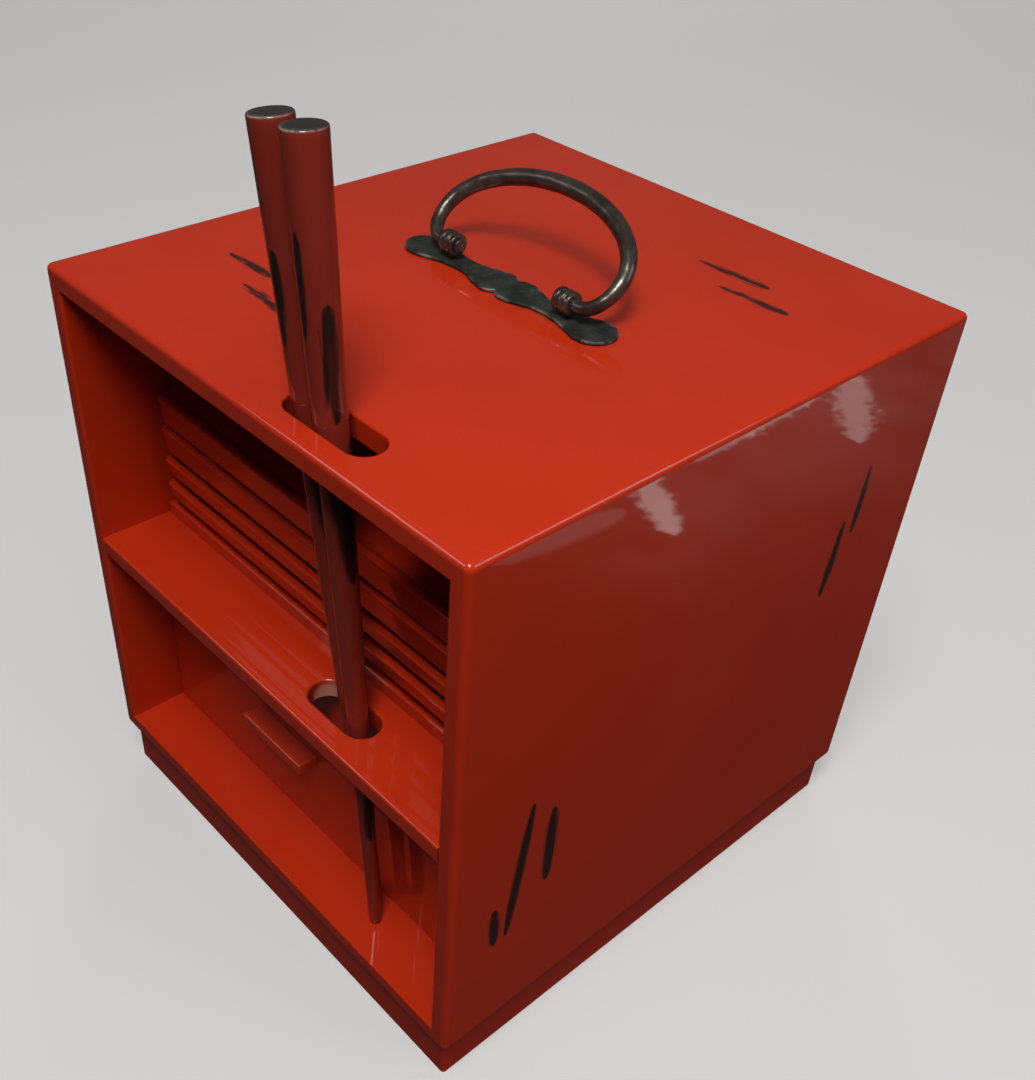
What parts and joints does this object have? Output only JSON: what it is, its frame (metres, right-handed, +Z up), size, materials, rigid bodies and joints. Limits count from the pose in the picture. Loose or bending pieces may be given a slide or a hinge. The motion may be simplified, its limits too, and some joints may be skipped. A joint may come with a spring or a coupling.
{
  "type": "lacquered carrying box",
  "caption": "Open-fronted lacquered carrying box with a shelf, a drawer, a stack of square plates, standing chopsticks through slots and an iron bail handle on top.",
  "frame": {"origin": "centre of the plinth's underside, on the surface the box stands on", "axes": "+Z up, -Y out of the open front, +X to the right seen from the front"},
  "size_m": [0.2, 0.213, 0.2942],
  "materials": {
    "lacquer": "glossy vermilion lacquer over wood",
    "plate_lacquer": "glossy vermilion lacquer over wood",
    "stick_lacquer": "glossy red lacquer rubbed through to black",
    "iron_plate": "rough dark forged iron",
    "iron_bar": "satin brown-black forged iron"
  },
  "bodies": {
    "case": {"top_board": "lacquer", "bottom_board": "lacquer", "left_side_board": "lacquer", "right_side_board": "lacquer", "back_board": "lacquer", "shelf_board": "lacquer", "plinth_front": "lacquer", "plinth_back": "lacquer", "plinth_left": "lacquer", "plinth_right": "lacquer", "handle_backplate": "iron_plate", "handle_eye_left": "iron_bar", "handle_eye_right": "iron_bar"},
    "drawer": {"drawer_front": "lacquer", "drawer_left_side": "lacquer", "drawer_right_side": "lacquer", "drawer_back": "lacquer", "drawer_bottom": "lacquer", "drawer_pull": "lacquer"},
    "plate_stack": {"plate_base_board": "plate_lacquer", "plate_1": "plate_lacquer", "plate_2": "plate_lacquer", "plate_3": "plate_lacquer", "plate_4": "plate_lacquer"},
    "chopstick_left": {"chopstick_left": "stick_lacquer"},
    "chopstick_right": {"chopstick_right": "stick_lacquer"},
    "bail": {"handle_bail": "iron_bar"}
  },
  "joints": [
    {"name": "drawer_slide", "type": "slide", "parent": "case", "child": "drawer", "axis": [0, -1, 0], "range_m": [0, 0.002]},
    {"name": "plate_stack_slide", "type": "slide", "parent": "case", "child": "plate_stack", "axis": [0, -1, 0], "range_m": [0, 0.004]},
    {"name": "chopstick_left_lift", "type": "slide", "parent": "case", "child": "chopstick_left", "axis": [-0.1292, -0.0108, 0.9916], "range_m": [0, 0.24]},
    {"name": "chopstick_right_lift", "type": "slide", "parent": "case", "child": "chopstick_right", "axis": [-0.092, 0.0031, 0.9958], "range_m": [0, 0.24]},
    {"name": "bail_hinge", "type": "hinge", "parent": "case", "child": "bail", "pos_m": [0, -0.002, 0.225], "axis": [1, 0, 0], "range_deg": [-38, 142]}
  ]
}
